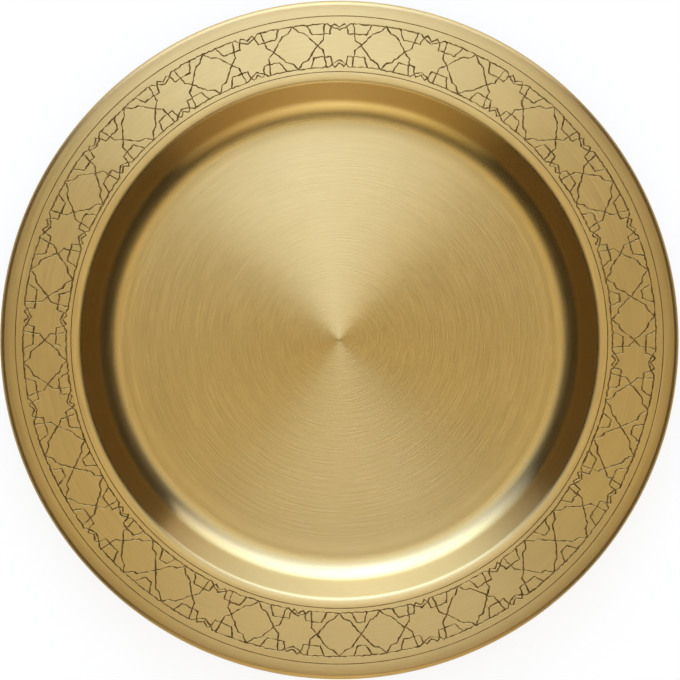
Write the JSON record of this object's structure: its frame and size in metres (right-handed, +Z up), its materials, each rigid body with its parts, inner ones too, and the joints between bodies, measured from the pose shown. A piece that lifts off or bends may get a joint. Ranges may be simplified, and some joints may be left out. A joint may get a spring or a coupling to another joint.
{
  "type": "serving dish",
  "caption": "Round brass serving dish with a flat floor, sloping wall, wide flat engraved rim and wired edge, standing on a soldered foot ring.",
  "frame": {"origin": "on the dish axis, at the plane the foot ring stands on", "axes": "+Z up along the dish axis, +Y towards the top of the picture, +X to its right"},
  "size_m": [0.3, 0.3, 0.02],
  "materials": {
    "dish_brass": "satin, brushed in circles on the floor and rim, polished on the wall",
    "edge_wire_steel": "drawn wire, dull",
    "foot_brass": "turned, satin",
    "foot_solder_grey": "dull grey solder"
  },
  "bodies": {
    "root": {"dish_body": "dish_brass", "edge_wire": "edge_wire_steel", "foot_ring": "foot_brass", "foot_solder": "foot_solder_grey"}
  },
  "joints": []
}
